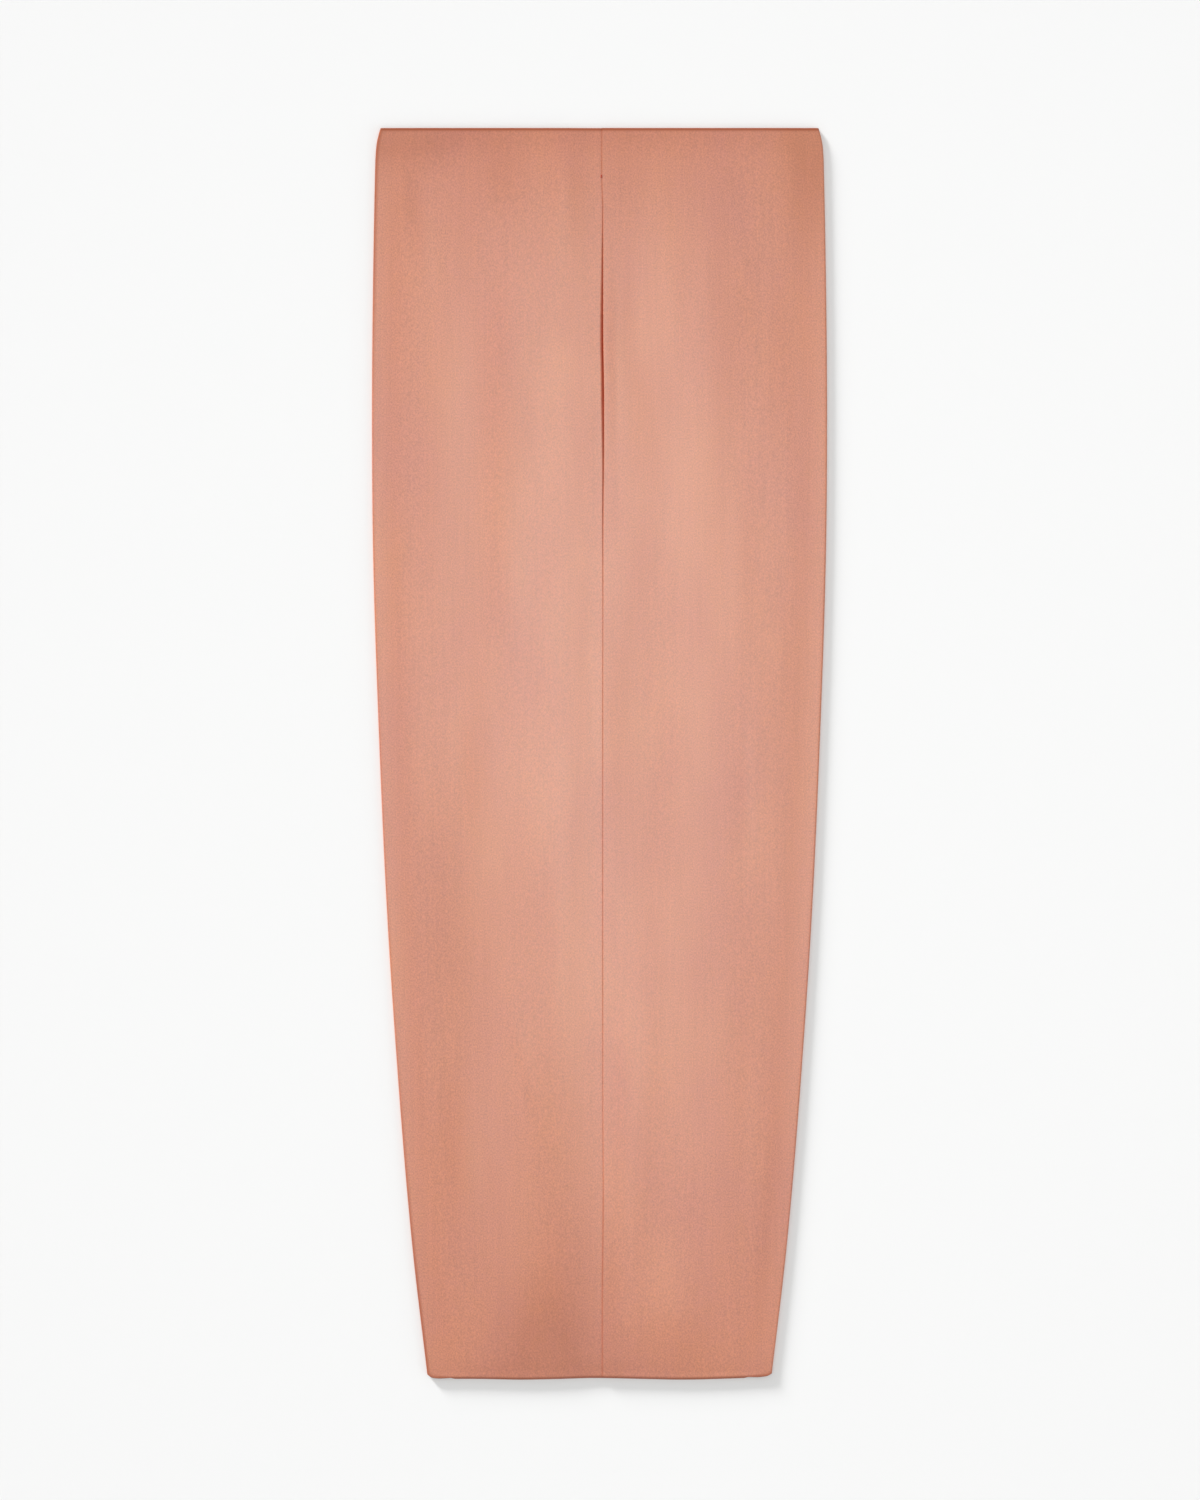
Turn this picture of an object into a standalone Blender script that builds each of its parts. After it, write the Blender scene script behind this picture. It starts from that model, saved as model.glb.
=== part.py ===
"""A long wrap skirt laid flat on its back, with its waist towards +Y and its front up.

It is cut in three pieces of cloth. The back lies flat on the surface. Each front is sewn to it a
little way in under the side, comes round the side in a soft fold and runs over the top to the
middle. The over front (+X) ends there in the free edge of the wrap. The under front (-X) dips
below that edge and runs on beneath the over front as the underlap.
"""

import math
from collections import namedtuple

import bmesh
import bpy

# Driving dimensions, in metres.
LENGTH = 1.030  # from the waist to the lowest point of the back hem
WALL = 0.001  # thickness of the cloth
SEAM_GAP = 0.0003  # clearance between the pieces at their seams
OVERLAP_GAP = 0.0004  # clearance between the two fronts where they overlap
FOLD_RADIUS = 0.0015  # outside radius of the soft fold down each side
RETURN_WIDTH = 0.008  # how far each front runs under the side before it meets the back
UNDERLAP = 0.105  # how far the under front runs on past the middle
BACK_HEM_SHOWS = 0.0013  # how far the back hem reaches below the front hems
BACK_TUCK = 0.0030  # how far it draws up at its corners, where the fronts cover it
TUCK_FROM = 0.84  # share of the half width where that begins
TUCK_OVER = 0.10  # share of the half width over which it happens
LAYER_RISE = 0.0007  # rise of the front from the side folds to its layers further in
LAYER_SOFT = 0.034  # distance over which that rise happens
CROWN = 0.0012  # further rise, from the rims to the middle
UNDERLAP_STEP = 0.0003  # drop of the over front past the end of the underlap
UNDERLAP_STEP_SOFT = 0.024  # distance over which that drop happens
END_SOFT = 0.060  # distance over which the crown and the folds die out at the waist and the hem
SIDE_SOFT = 0.024  # distance over which they die out at the sides
DIP_WIDTH = 0.006  # width over which the under front dips below the free edge
EDGE_LIFT = 0.0005  # how much the free edge lifts where the wrap parts
EDGE_LIFT_REACH = 0.012  # how far in from the free edge the lift reaches
PARTING_REACH = 0.030  # how far in under the over front the parting reaches

# Mesh resolution.
ROWS = 42  # cross-sections from waist to hem
ROW_CROWDING = 0.72  # 0 spaces the cross-sections evenly, near 1 crowds them at both ends
FOLD_STEPS = 6  # faces round each side fold
UNDER_TOP_STEPS = 13  # faces from the under front's side fold to the dip
OVER_TOP_STEPS = 5  # faces from the over front's side fold to the end of the underlap
UNDERLAP_STEPS = 8  # faces across the underlap, which the over front above it shares
BACK_SHARES = (-1.0, -0.95, -0.9, -0.7, -0.45, -0.2, 0.0, 0.2, 0.45, 0.7, 0.9, 0.95, 1.0)
DIP_OFFSETS = (-0.012, -0.0085, -0.006, -0.0045, -0.003, -0.0015)  # from the free edge
OVERLAP_OFFSETS = (0.0, 0.003, 0.009)  # the first columns past the free edge
STEP_OFFSETS = (0.014, 0.007)  # columns of the over front just past the underlap

Station = namedtuple("Station", "below_waist half_width")
OUTLINE = (
    Station(0.000, 0.1802),
    Station(0.006, 0.1820),
    Station(0.014, 0.1836),
    Station(0.030, 0.1846),
    Station(0.140, 0.1866),
    Station(0.240, 0.1873),
    Station(0.350, 0.1864),
    Station(0.470, 0.1827),
    Station(0.640, 0.1752),
    Station(0.800, 0.1645),
    Station(0.920, 0.1541),
    Station(1.030, 0.1412),
)

# The hem's rise above its lowest point, by share of the half width from the middle.
HemPlace = namedtuple("HemPlace", "share rise")
HEM_LINE = (
    HemPlace(-1.00, 0.0044),
    HemPlace(-0.98, 0.0018),
    HemPlace(-0.93, 0.0008),
    HemPlace(-0.70, 0.0006),
    HemPlace(-0.46, 0.0000),
    HemPlace(-0.25, 0.0005),
    HemPlace(-0.06, 0.0013),
    HemPlace(0.10, 0.0011),
    HemPlace(0.28, 0.0005),
    HemPlace(0.50, 0.0000),
    HemPlace(0.82, 0.0012),
    HemPlace(0.93, 0.0020),
    HemPlace(0.98, 0.0032),
    HemPlace(1.00, 0.0052),
)

# The free edge of the wrap: its distance to the right of the middle, and how far it parts from
# the under front there.
EdgePlace = namedtuple("EdgePlace", "below_waist across")
FREE_EDGE = (
    EdgePlace(0.00, 0.0018),
    EdgePlace(0.04, 0.0018),
    EdgePlace(0.07, 0.0028),
    EdgePlace(0.17, 0.0030),
    EdgePlace(0.21, 0.0036),
    EdgePlace(0.27, 0.0036),
    EdgePlace(0.33, 0.0030),
    EdgePlace(0.50, 0.0027),
    EdgePlace(0.80, 0.0028),
    EdgePlace(0.88, 0.0031),
    EdgePlace(0.96, 0.0024),
    EdgePlace(1.03, 0.0024),
)
Parting = namedtuple("Parting", "below_waist depth")
PARTINGS = (
    Parting(0.00, 0.0),
    Parting(0.05, 0.0),
    Parting(0.12, 0.0006),
    Parting(0.17, 0.0010),
    Parting(0.22, 0.0010),
    Parting(0.29, 0.0004),
    Parting(0.40, 0.0),
    Parting(1.03, 0.0),
)

# Soft folds of the front, each a long ridge (or, with a height below 0, a trough) that drifts
# from one place across the skirt at its top to another at its bottom.
Fold = namedtuple("Fold", "top bottom across_top across_bottom half_width height")
FOLDS = (
    Fold(-0.10, 0.62, -0.070, -0.072, 0.022, 0.0008),
    Fold(-0.06, 0.32, -0.026, -0.024, 0.013, -0.0004),
    Fold(0.04, 0.50, -0.136, -0.128, 0.020, 0.0003),
    Fold(0.04, 0.26, 0.030, 0.034, 0.014, -0.0004),
    Fold(0.10, 0.84, 0.052, 0.048, 0.022, -0.0006),
    Fold(0.04, 0.30, 0.088, 0.090, 0.020, 0.0003),
    Fold(0.03, 0.26, 0.138, 0.132, 0.016, -0.0003),
    Fold(0.60, 0.98, -0.090, -0.010, 0.026, 0.0005),
    Fold(0.86, 1.04, -0.022, -0.030, 0.024, 0.0005),
    Fold(0.74, 0.96, -0.112, -0.106, 0.014, 0.0003),
    Fold(0.60, 0.96, 0.036, 0.034, 0.018, 0.0004),
    Fold(0.90, 1.03, 0.060, 0.064, 0.022, 0.0004),
)

# Colours, as linear red, green and blue.
SATIN_FACE = (0.69, 0.35, 0.26, 1.0)
SATIN_WRONG_SIDE = (0.60, 0.29, 0.21, 1.0)
SATIN_ROUGHNESS = 0.42
WRONG_SIDE_ROUGHNESS = 0.6


def slope_at(rows, index):
    before = rows[max(index - 1, 0)]
    after = rows[min(index + 1, len(rows) - 1)]
    return (after[1] - before[1]) / (after[0] - before[0])


def smooth_through(rows, place):
    """The value at a place on the smooth curve through rows of (place, value)."""
    place = min(max(place, rows[0][0]), rows[-1][0])
    index = 0
    while index < len(rows) - 2 and place > rows[index + 1][0]:
        index += 1
    start, end = rows[index], rows[index + 1]
    span = end[0] - start[0]
    t = (place - start[0]) / span
    return (
        (2 * t**3 - 3 * t**2 + 1) * start[1]
        + (3 * t**2 - 2 * t**3) * end[1]
        + (t**3 - 2 * t**2 + t) * span * slope_at(rows, index)
        + (t**3 - t**2) * span * slope_at(rows, index + 1)
    )


def eased(share):
    """0 up to 0, 1 from 1 on, and a smooth rise between."""
    share = min(max(share, 0.0), 1.0)
    return share * share * (3 - 2 * share)


def risen(share):
    """0 at 0, with a rise that is steep at first and level from 1 on."""
    share = min(max(share, 0.0), 1.0)
    return share * (2 - share)


def half_width(below_waist):
    return smooth_through(OUTLINE, below_waist)


def fade_at_rims(across, below_waist):
    """1 in the middle of the skirt, falling to 0 at the waist, the hem and the side folds."""
    from_side = half_width(below_waist) - FOLD_RADIUS - abs(across)
    from_end = min(below_waist, LENGTH - below_waist)
    return eased(from_side / SIDE_SOFT) * risen(from_end / END_SOFT)


def fold_height(fold, across, below_waist):
    share = (below_waist - fold.top) / (fold.bottom - fold.top)
    if not 0 < share < 1:
        return 0.0
    middle = fold.across_top + (fold.across_bottom - fold.across_top) * share
    along = math.sin(math.pi * share) ** 2
    off = (across - middle) / fold.half_width
    return fold.height * along * math.exp(-off * off)


def front_height(across, below_waist):
    """Height of the front's upper face, as if both fronts were one smooth sheet."""
    reach = half_width(below_waist) - FOLD_RADIUS
    layers = LAYER_RISE * eased((reach - abs(across)) / LAYER_SOFT)
    crown = CROWN * max(1 - (across / reach) ** 2, 0.0)
    past_underlap = across - UNDERLAP + UNDERLAP_STEP_SOFT / 2
    step = UNDERLAP_STEP * eased(past_underlap / UNDERLAP_STEP_SOFT)
    folds = sum(fold_height(fold, across, below_waist) for fold in FOLDS)
    fade = fade_at_rims(across, below_waist)
    return 2 * FOLD_RADIUS + layers + (crown - step + folds) * fade


def parting_at(past_edge, below_waist):
    """How far the under front sinks away from the free edge, at a distance past that edge."""
    return smooth_through(PARTINGS, below_waist) * eased(1 - past_edge / PARTING_REACH)


def over_height(across, below_waist):
    past_edge = across - smooth_through(FREE_EDGE, below_waist)
    opened = smooth_through(PARTINGS, below_waist) / max(row.depth for row in PARTINGS)
    lift = EDGE_LIFT * opened * eased(1 - past_edge / EDGE_LIFT_REACH)
    return front_height(across, below_waist) + lift


def under_height(across, below_waist):
    """The under front's upper face: level with the over front, then below it past the free edge."""
    past_edge = across - smooth_through(FREE_EDGE, below_waist)
    dip = WALL + OVERLAP_GAP + parting_at(past_edge, below_waist)
    return front_height(across, below_waist) - dip * eased(1 + past_edge / DIP_WIDTH)


def side_places(side, below_waist):
    """Cross-section of a front from its seam with the back, out and round the side fold."""
    edge = half_width(below_waist)
    places = [
        (side * (edge - RETURN_WIDTH), 0.0),
        (side * (edge - (RETURN_WIDTH + FOLD_RADIUS) / 2), 0.0),
    ]
    for step in range(FOLD_STEPS + 1):
        turn = math.pi * step / FOLD_STEPS
        out = edge - FOLD_RADIUS + FOLD_RADIUS * math.sin(turn)
        places.append((side * out, FOLD_RADIUS - FOLD_RADIUS * math.cos(turn)))
    return places


def steps_between(start, end, count):
    """The places between start and end that part it into count equal steps."""
    return [start + (end - start) * step / count for step in range(1, count)]


def overlap_columns(below_waist):
    """Columns that both fronts share, from the free edge to the end of the underlap."""
    free_edge = smooth_through(FREE_EDGE, below_waist)
    across = [free_edge + offset for offset in OVERLAP_OFFSETS]
    return across + steps_between(across[-1], UNDERLAP, UNDERLAP_STEPS) + [UNDERLAP]


def under_section(below_waist):
    """Points across the under front: seam, side fold, top, dip and underlap."""
    places = side_places(-1, below_waist)
    free_edge = smooth_through(FREE_EDGE, below_waist)
    dip = [free_edge + offset for offset in DIP_OFFSETS]
    across = steps_between(places[-1][0], dip[0], UNDER_TOP_STEPS) + dip
    across += overlap_columns(below_waist)
    return places + [(place, under_height(place, below_waist)) for place in across]


def over_section(below_waist):
    """Points across the over front: seam, side fold, top, and back to its free edge."""
    places = side_places(1, below_waist)
    past_underlap = [UNDERLAP + offset for offset in STEP_OFFSETS]
    across = steps_between(places[-1][0], past_underlap[0], OVER_TOP_STEPS) + past_underlap
    across += reversed(overlap_columns(below_waist))
    return places + [(place, over_height(place, below_waist)) for place in across]


def back_section(below_waist):
    reach = half_width(below_waist) - RETURN_WIDTH - SEAM_GAP
    return [(share * reach, 0.0) for share in BACK_SHARES]


def row_share(row):
    """Share of the length at a cross-section, with the sections crowded at both ends."""
    even = row / (ROWS - 1)
    return even - ROW_CROWDING * math.sin(2 * math.pi * even) / (2 * math.pi)


def front_cut(share):
    """Length of a front's cut at a share of the half width."""
    return LENGTH - BACK_HEM_SHOWS - smooth_through(HEM_LINE, share)


def back_cut(share):
    tuck = BACK_TUCK * eased((abs(share) - TUCK_FROM) / TUCK_OVER)
    return LENGTH - smooth_through(HEM_LINE, share) - tuck


def loft(name, section, cut):
    """An open sheet through the cross-sections of one piece, cut to its hem line."""
    at_hem = [across / half_width(LENGTH) for across, _ in section(LENGTH)]
    columns = len(at_hem)
    sheet = bmesh.new()
    bmesh.ops.create_grid(sheet, x_segments=columns - 1, y_segments=ROWS - 1, size=0.5)
    for vert in sheet.verts:
        column = round((vert.co.x + 0.5) * (columns - 1))
        row = round((vert.co.y + 0.5) * (ROWS - 1))
        below_waist = row_share(row) * cut(at_hem[column])
        across, height = section(below_waist)[column]
        vert.co = (across, LENGTH / 2 - below_waist, height)
    mesh = bpy.data.meshes.new(name)
    sheet.to_mesh(mesh)
    sheet.free()
    return mesh


def cloth_material(name, colour, roughness):
    material = bpy.data.materials.new(name)
    material.use_nodes = True
    shader = material.node_tree.nodes["Principled BSDF"]
    shader.inputs["Base Color"].default_value = colour
    shader.inputs["Roughness"].default_value = roughness
    shader.inputs["Metallic"].default_value = 0.0
    return material


def add_piece(name, section, cut, material, collection, parent, turned=False):
    """One piece of cloth: its outer face as a sheet, with the wall added on the inside."""
    mesh = loft(name, section, cut)
    if turned:
        mesh.flip_normals()
    mesh.shade_smooth()
    mesh.materials.append(material)
    piece = bpy.data.objects.new(name, mesh)
    piece.parent = parent
    collection.objects.link(piece)
    wall = piece.modifiers.new("wall", "SOLIDIFY")
    wall.thickness = WALL
    wall.offset = -1.0
    wall.use_even_offset = True
    return piece


def build_skirt():
    for leftover in list(bpy.data.objects):
        bpy.data.objects.remove(leftover, do_unlink=True)
    skirt = bpy.data.collections.new("long_wrap_skirt")
    bpy.context.scene.collection.children.link(skirt)
    origin = bpy.data.objects.new("skirt_origin", None)
    skirt.objects.link(origin)
    over = cloth_material("over_front_satin", SATIN_FACE, SATIN_ROUGHNESS)
    under = cloth_material("under_front_satin", SATIN_FACE, SATIN_ROUGHNESS)
    back = cloth_material("back_satin", SATIN_WRONG_SIDE, WRONG_SIDE_ROUGHNESS)
    add_piece("front_over", over_section, front_cut, over, skirt, origin)
    add_piece("front_under", under_section, front_cut, under, skirt, origin, turned=True)
    add_piece("back", back_section, back_cut, back, skirt, origin)


build_skirt()
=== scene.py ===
# %% [markdown]
# # A long wrap skirt in matte satin, laid flat
# The construction model gives three plain walls of cloth: an over front, an under front and a
# back, each in its place and at its real size. This lesson dresses them. Each wall is swapped
# for a thin shell of cloth on the same form, with turned edges, soft folds and a satin finish.
# Everything is in metres: +X is to the viewer's right, +Y is towards the waist and +Z is up.

import math
from collections import namedtuple

import bmesh
import bpy
import numpy as np
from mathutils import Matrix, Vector


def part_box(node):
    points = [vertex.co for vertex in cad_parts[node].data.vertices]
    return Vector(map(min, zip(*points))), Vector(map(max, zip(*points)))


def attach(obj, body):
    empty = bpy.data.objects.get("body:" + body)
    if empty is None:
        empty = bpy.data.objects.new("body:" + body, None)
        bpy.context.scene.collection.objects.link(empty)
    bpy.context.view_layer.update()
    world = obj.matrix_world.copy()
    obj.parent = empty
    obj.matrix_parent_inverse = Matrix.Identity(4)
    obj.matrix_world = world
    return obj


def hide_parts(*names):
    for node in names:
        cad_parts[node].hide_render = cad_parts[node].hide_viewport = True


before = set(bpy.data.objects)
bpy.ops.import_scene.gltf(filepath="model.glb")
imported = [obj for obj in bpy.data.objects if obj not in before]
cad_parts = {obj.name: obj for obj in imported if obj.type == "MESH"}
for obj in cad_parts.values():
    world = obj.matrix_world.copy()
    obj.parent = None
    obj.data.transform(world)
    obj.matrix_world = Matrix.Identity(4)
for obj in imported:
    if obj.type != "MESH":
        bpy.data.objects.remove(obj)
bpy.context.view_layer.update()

# %% [markdown]
# ## Sizes that come from the model
# The waist, the hem, the end of the underlap and the thickness of a wall are read from the walls
# themselves, so that the shells can never drift away from them. The gaps, the radius of the side
# folds and the width that turns under at a side are the construction model's. The cloth of the
# shells is thinner than the walls, as the real satin is.

# %% Read the main sizes
back_low, back_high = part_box("back")
over_low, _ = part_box("front_over")
under_low, under_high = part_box("front_under")
WAIST_Y = back_high.y
LENGTH = back_high.y - back_low.y
FRONT_LENGTH = WAIST_Y - min(over_low.y, under_low.y)
UNDERLAP = under_high.x
WALL = back_high.z - back_low.z
SEAM_GAP = 0.0003
OVERLAP_GAP = 0.0004
FOLD_RADIUS = 0.0015
RETURN_WIDTH = 0.008
CLOTH = 0.0008
print(f"length {LENGTH:.4f} m, underlap to x {UNDERLAP:.4f} m, wall {WALL * 1000:.2f} mm")

# %% [markdown]
# ## The cut: outline, hem line and free edge
# A pattern cutter would mark a garment at a few stations and join the marks with a smooth curve.
# The same is done here. Each table has one row for each station, and a cubic curve runs through
# the rows. The side is nearly straight past the hip and then tapers to a narrow hem. The last
# table says how far the wrap parts below its tack. All four are the construction model's own, so
# that a shell and its wall have the same cut.

# %% The cut's stations
Station = namedtuple("Station", "below_waist half_width")
OUTLINE = (
    Station(0.000, 0.1802),
    Station(0.006, 0.1820),
    Station(0.014, 0.1836),
    Station(0.030, 0.1846),
    Station(0.140, 0.1866),
    Station(0.240, 0.1873),
    Station(0.350, 0.1864),
    Station(0.470, 0.1827),
    Station(0.640, 0.1752),
    Station(0.800, 0.1645),
    Station(0.920, 0.1541),
    Station(1.030, 0.1412),
)
HemPlace = namedtuple("HemPlace", "share rise")
HEM_LINE = (
    HemPlace(-1.00, 0.0044),
    HemPlace(-0.98, 0.0018),
    HemPlace(-0.93, 0.0008),
    HemPlace(-0.70, 0.0006),
    HemPlace(-0.46, 0.0000),
    HemPlace(-0.25, 0.0005),
    HemPlace(-0.06, 0.0013),
    HemPlace(0.10, 0.0011),
    HemPlace(0.28, 0.0005),
    HemPlace(0.50, 0.0000),
    HemPlace(0.82, 0.0012),
    HemPlace(0.93, 0.0020),
    HemPlace(0.98, 0.0032),
    HemPlace(1.00, 0.0052),
)
EdgePlace = namedtuple("EdgePlace", "below_waist across")
FREE_EDGE = (
    EdgePlace(0.00, 0.0018),
    EdgePlace(0.04, 0.0018),
    EdgePlace(0.07, 0.0028),
    EdgePlace(0.17, 0.0030),
    EdgePlace(0.21, 0.0036),
    EdgePlace(0.27, 0.0036),
    EdgePlace(0.33, 0.0030),
    EdgePlace(0.50, 0.0027),
    EdgePlace(0.80, 0.0028),
    EdgePlace(0.88, 0.0031),
    EdgePlace(0.96, 0.0024),
    EdgePlace(1.03, 0.0024),
)
Parting = namedtuple("Parting", "below_waist depth")
PARTINGS = (
    Parting(0.00, 0.0),
    Parting(0.05, 0.0),
    Parting(0.12, 0.0006),
    Parting(0.17, 0.0010),
    Parting(0.22, 0.0010),
    Parting(0.29, 0.0004),
    Parting(0.40, 0.0),
    Parting(1.03, 0.0),
)
print(len(OUTLINE), "stations down a side,", len(HEM_LINE), "along the hem")

# %% Curves through the stations


def smooth_through(rows, place):
    """Values at places on the smooth curve through rows of (place, value)."""
    places, values = np.array(rows, float).T
    slopes = np.empty_like(values)
    slopes[1:-1] = (values[2:] - values[:-2]) / (places[2:] - places[:-2])
    slopes[0] = (values[1] - values[0]) / (places[1] - places[0])
    slopes[-1] = (values[-1] - values[-2]) / (places[-1] - places[-2])
    place = np.clip(place, places[0], places[-1])
    index = np.clip(np.searchsorted(places, place, side="right") - 1, 0, len(places) - 2)
    span = places[index + 1] - places[index]
    t = (place - places[index]) / span
    return (
        (2 * t**3 - 3 * t**2 + 1) * values[index]
        + (3 * t**2 - 2 * t**3) * values[index + 1]
        + (t**3 - 2 * t**2 + t) * span * slopes[index]
        + (t**3 - t**2) * span * slopes[index + 1]
    )


def eased(share):
    """0 up to 0, 1 from 1 on, and a smooth rise between."""
    share = np.clip(share, 0.0, 1.0)
    return share * share * (3 - 2 * share)


def risen(share):
    """0 at 0, with a rise that is steep at first and level from 1 on."""
    share = np.clip(share, 0.0, 1.0)
    return share * (2 - share)


def half_width(below_waist):
    return smooth_through(OUTLINE, below_waist)


widest = half_width(np.linspace(0, LENGTH, 500)).max()
for name, half in (("waist", half_width(0.0)), ("widest", widest), ("hem", half_width(LENGTH))):
    print(f"{name} {2 * half:.3f} m")

# %% [markdown]
# ## The lie of the front
# Laid flat, satin still holds long soft folds. Each is a ridge or a trough that swells and dies
# away along its length. A row says where a fold starts and ends below the waist, where it lies
# across the skirt at both ends, and how wide and how high it is. The big ones are the same as in
# the construction model. The creases are finer: they are what a press and a hanger leave behind.
# A cloth simulation would make such folds too, but not in the places where this skirt has them.

# %% Soft folds and fine creases
Fold = namedtuple("Fold", "top bottom across_top across_bottom half_width height")
FOLDS = (
    Fold(-0.10, 0.62, -0.070, -0.072, 0.022, 0.0008),
    Fold(-0.06, 0.32, -0.026, -0.024, 0.013, -0.0004),
    Fold(0.04, 0.50, -0.136, -0.128, 0.020, 0.0003),
    Fold(0.04, 0.26, 0.030, 0.034, 0.014, -0.0004),
    Fold(0.10, 0.84, 0.052, 0.048, 0.022, -0.0006),
    Fold(0.04, 0.30, 0.088, 0.090, 0.020, 0.0003),
    Fold(0.03, 0.26, 0.138, 0.132, 0.016, -0.0003),
    Fold(0.60, 0.98, -0.090, -0.010, 0.026, 0.0005),
    Fold(0.86, 1.04, -0.022, -0.030, 0.024, 0.0005),
    Fold(0.74, 0.96, -0.112, -0.106, 0.014, 0.0003),
    Fold(0.60, 0.96, 0.036, 0.034, 0.018, 0.0004),
    Fold(0.90, 1.03, 0.060, 0.064, 0.022, 0.0004),
)
CREASES = (
    Fold(0.02, 0.15, -0.146, -0.142, 0.007, 0.00012),
    Fold(0.10, 0.34, -0.116, -0.122, 0.012, 0.00010),
    Fold(-0.04, 0.18, -0.096, -0.096, 0.018, 0.00030),
    Fold(0.05, 0.20, -0.050, -0.048, 0.006, 0.00008),
    Fold(0.36, 0.62, -0.096, -0.088, 0.011, 0.00010),
    Fold(0.52, 0.80, -0.024, -0.034, 0.010, 0.00010),
    Fold(0.70, 0.84, -0.080, -0.040, 0.007, 0.00009),
    Fold(0.78, 0.90, -0.105, -0.075, 0.007, 0.00008),
    Fold(0.06, 0.22, 0.060, 0.064, 0.008, 0.00008),
    Fold(0.24, 0.50, 0.120, 0.112, 0.012, 0.00010),
    Fold(0.58, 0.86, 0.092, 0.084, 0.013, -0.00010),
    Fold(0.66, 1.12, 0.026, 0.023, 0.014, 0.00040),
    Fold(-0.10, 0.15, -0.028, -0.027, 0.012, 0.00065),
    Fold(0.00, 0.21, -0.027, -0.025, 0.013, 0.00022),
    Fold(0.28, 0.78, -0.042, -0.038, 0.026, 0.00030),
    Fold(0.34, 0.66, 0.028, 0.028, 0.016, -0.00022),
    Fold(0.06, 0.34, -0.024, -0.022, 0.013, 0.00030),
    Fold(0.62, 0.96, -0.088, -0.014, 0.026, -0.00020),
    Fold(0.76, 0.99, 0.104, 0.098, 0.055, 0.00035),
    Fold(0.93, 1.10, 0.068, 0.070, 0.024, 0.00035),
)
print(len(FOLDS), "soft folds,", len(CREASES), "creases")

# %% How a fold swells and fades
END_SOFT = 0.060
SIDE_SOFT = 0.024


def fold_heights(folds, across, below_waist):
    """Summed height of a table of folds."""
    total = np.zeros(np.broadcast(across, below_waist).shape)
    for fold in folds:
        share = (below_waist - fold.top) / (fold.bottom - fold.top)
        middle = fold.across_top + (fold.across_bottom - fold.across_top) * share
        along = np.where((share > 0) & (share < 1), np.sin(math.pi * share) ** 2, 0.0)
        total += fold.height * along * np.exp(-(((across - middle) / fold.half_width) ** 2))
    return total


def fade_at_rims(across, below_waist):
    """1 in the middle of the skirt, falling to 0 at the waist, the hem and the side folds."""
    from_side = half_width(below_waist) - FOLD_RADIUS - np.abs(across)
    from_end = np.minimum(below_waist, LENGTH - below_waist)
    return eased(from_side / SIDE_SOFT) * risen(from_end / END_SOFT)


# %% [markdown]
# ## Faint ripples
# Between its folds real cloth is never quite flat. Noise could stand in for that, but ripples of
# cloth run along the grain. So a few dozen shallow ones are drawn by lot, as rows of the same
# kind as the folds, and the fixed seed gives the same skirt in each run.

# %% Ripples
RIPPLE_COUNT = 60
RIPPLE_SEED = 11
RIPPLE_LAST_TOP = 0.85
RIPPLE_REACH = 0.16
RIPPLE_LENGTHS = (0.08, 0.30)
RIPPLE_DRIFT = 0.012
RIPPLE_HALF_WIDTHS = (0.005, 0.014)
RIPPLE_HEIGHT = 0.00005

dice = np.random.default_rng(RIPPLE_SEED)
ripples = []
for _ in range(RIPPLE_COUNT):
    top = dice.uniform(0.0, RIPPLE_LAST_TOP)
    place = dice.uniform(-RIPPLE_REACH, RIPPLE_REACH)
    ripples.append(
        Fold(
            top=top,
            bottom=top + dice.uniform(*RIPPLE_LENGTHS),
            across_top=place,
            across_bottom=place + dice.uniform(-RIPPLE_DRIFT, RIPPLE_DRIFT),
            half_width=dice.uniform(*RIPPLE_HALF_WIDTHS),
            height=dice.uniform(-RIPPLE_HEIGHT, RIPPLE_HEIGHT),
        )
    )
print(len(ripples), "faint ripples, up to", RIPPLE_HEIGHT * 1000, "mm high")

# %% [markdown]
# ## Heights of the two fronts
# Both fronts share one smooth sheet of heights: the layers at the side folds, a slight crown, the
# soft step where the underlap ends, and the folds. At the free edge the under front lies lower by
# a thickness of cloth. Most of that is a gentle approach and only the rest is a crisp step, as
# thin satin lies. Where the wrap parts, the under front sinks further and the free edge lifts a
# little. Past the edge, the under front tucks in beneath the over front.

# %% The smooth sheet of both fronts
LAYER_RISE = 0.0003
LAYER_SOFT = 0.034
CROWN = 0.0012
UNDERLAP_STEP = 0.00016
UNDERLAP_STEP_SOFT = 0.036


def front_height(across, below_waist):
    """Height of the front's upper face, as if both fronts were one smooth sheet."""
    reach = half_width(below_waist) - FOLD_RADIUS
    layers = LAYER_RISE * eased((reach - np.abs(across)) / LAYER_SOFT)
    crown = CROWN * np.clip(1 - (across / reach) ** 2, 0.0, None)
    past_underlap = across - UNDERLAP + UNDERLAP_STEP_SOFT / 2
    step = UNDERLAP_STEP * eased(past_underlap / UNDERLAP_STEP_SOFT)
    folds = fold_heights(FOLDS + CREASES + tuple(ripples), across, below_waist)
    fade = fade_at_rims(across, below_waist)
    return 2 * FOLD_RADIUS + layers + (crown - step + folds) * fade


middle_height = float(front_height(np.array(0.0), np.array(LENGTH / 2)))
print(f"the front lies {middle_height * 1000:.1f} mm up at its middle")

# %% Each front at the free edge
APPROACH_DROP = 0.00075
APPROACH_WIDTH = 0.040
EDGE_STEP = 0.0009
TUCK_UNDER = 0.012
DIP_CLOSED = 0.0006
DIP_PARTED = 0.0026
DIP_ENDS = 0.0004
EDGE_LIFT = 0.00035
EDGE_LIFT_REACH = 0.012
PARTING_REACH = 0.030
DEEPEST_PARTING = max(row.depth for row in PARTINGS)


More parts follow.
